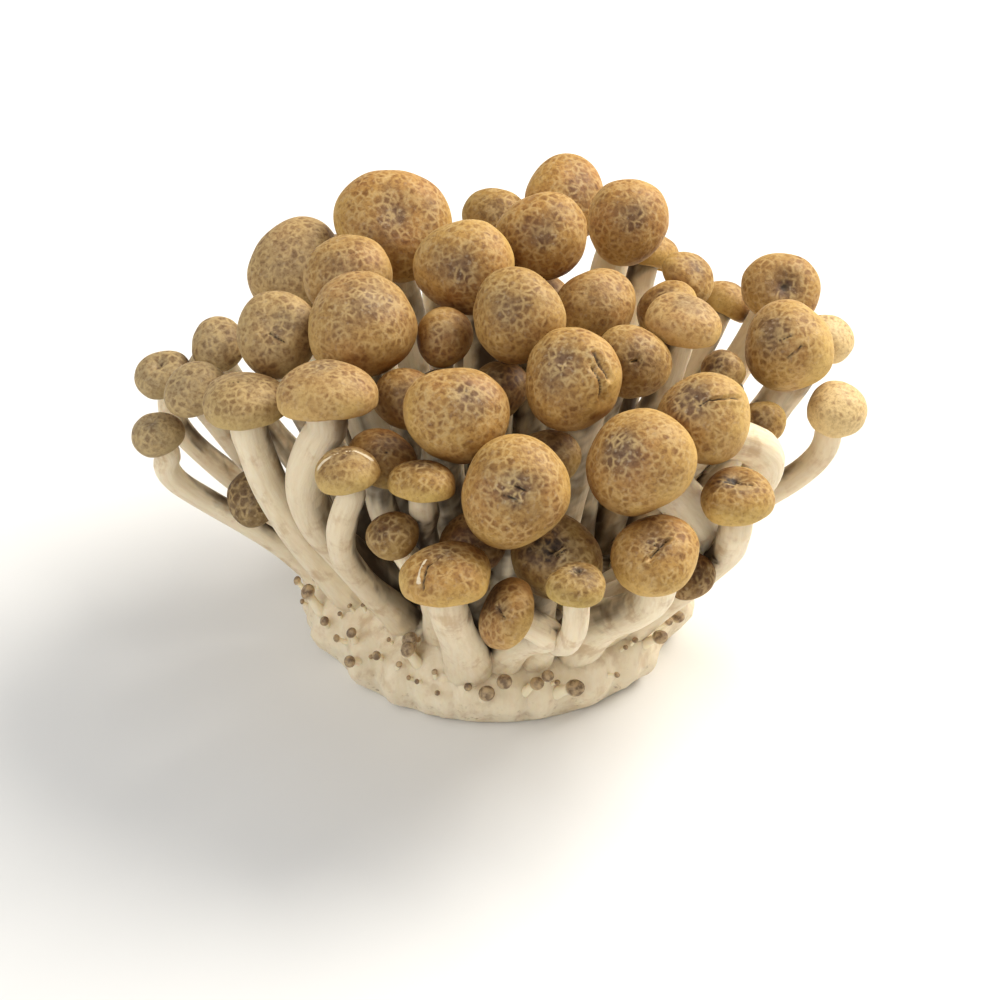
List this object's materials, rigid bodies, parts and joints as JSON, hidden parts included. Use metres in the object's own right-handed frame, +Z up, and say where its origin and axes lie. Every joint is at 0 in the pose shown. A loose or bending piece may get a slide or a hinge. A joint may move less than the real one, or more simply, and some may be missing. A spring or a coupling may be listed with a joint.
{
  "type": "beech mushroom cluster",
  "caption": "Free-standing bunch of brown-capped beech mushrooms on curved cream stems that grow from one cut butt.",
  "frame": {"origin": "centre of the flat face where the butt was cut, on which the bunch stands", "axes": "+Z up along the bunch, from the cut face to the crown of caps; -Y is the front of the picture, +X its right"},
  "size_m": [0.129, 0.1174, 0.0803],
  "materials": {
    "cap_skin": "matte tan brown with a fine net of paler lines",
    "stem_flesh": "smooth satin cream"
  },
  "bodies": {
    "root": {"cap_01": "cap_skin", "cap_02": "cap_skin", "cap_03": "cap_skin", "cap_04": "cap_skin", "cap_05": "cap_skin", "cap_06": "cap_skin", "cap_07": "cap_skin", "cap_08": "cap_skin", "cap_09": "cap_skin", "cap_10": "cap_skin", "cap_11": "cap_skin", "cap_12": "cap_skin", "cap_13": "cap_skin", "cap_14": "cap_skin", "cap_15": "cap_skin", "cap_16": "cap_skin", "cap_17": "cap_skin", "cap_18": "cap_skin", "cap_19": "cap_skin", "cap_20": "cap_skin", "cap_21": "cap_skin", "cap_22": "cap_skin", "cap_23": "cap_skin", "cap_24": "cap_skin", "cap_25": "cap_skin", "cap_26": "cap_skin", "cap_27": "cap_skin", "cap_28": "cap_skin", "cap_29": "cap_skin", "cap_30": "cap_skin", "cap_31": "cap_skin", "cap_32": "cap_skin", "cap_33": "cap_skin", "cap_34": "cap_skin", "cap_35": "cap_skin", "cap_36": "cap_skin", "cap_37": "cap_skin", "cap_38": "cap_skin", "cap_39": "cap_skin", "cap_40": "cap_skin", "cap_41": "cap_skin", "cap_42": "cap_skin", "cap_43": "cap_skin", "cap_44": "cap_skin", "cap_45": "cap_skin", "cap_46": "cap_skin", "cap_47": "cap_skin", "cap_48": "cap_skin", "cap_49": "cap_skin", "cap_50": "cap_skin", "cap_51": "cap_skin", "cap_52": "cap_skin", "cap_53": "cap_skin", "cap_54": "cap_skin", "cap_55": "cap_skin", "cap_56": "cap_skin", "cap_57": "cap_skin", "cap_58": "cap_skin", "stems_and_butt": "stem_flesh"}
  },
  "joints": []
}
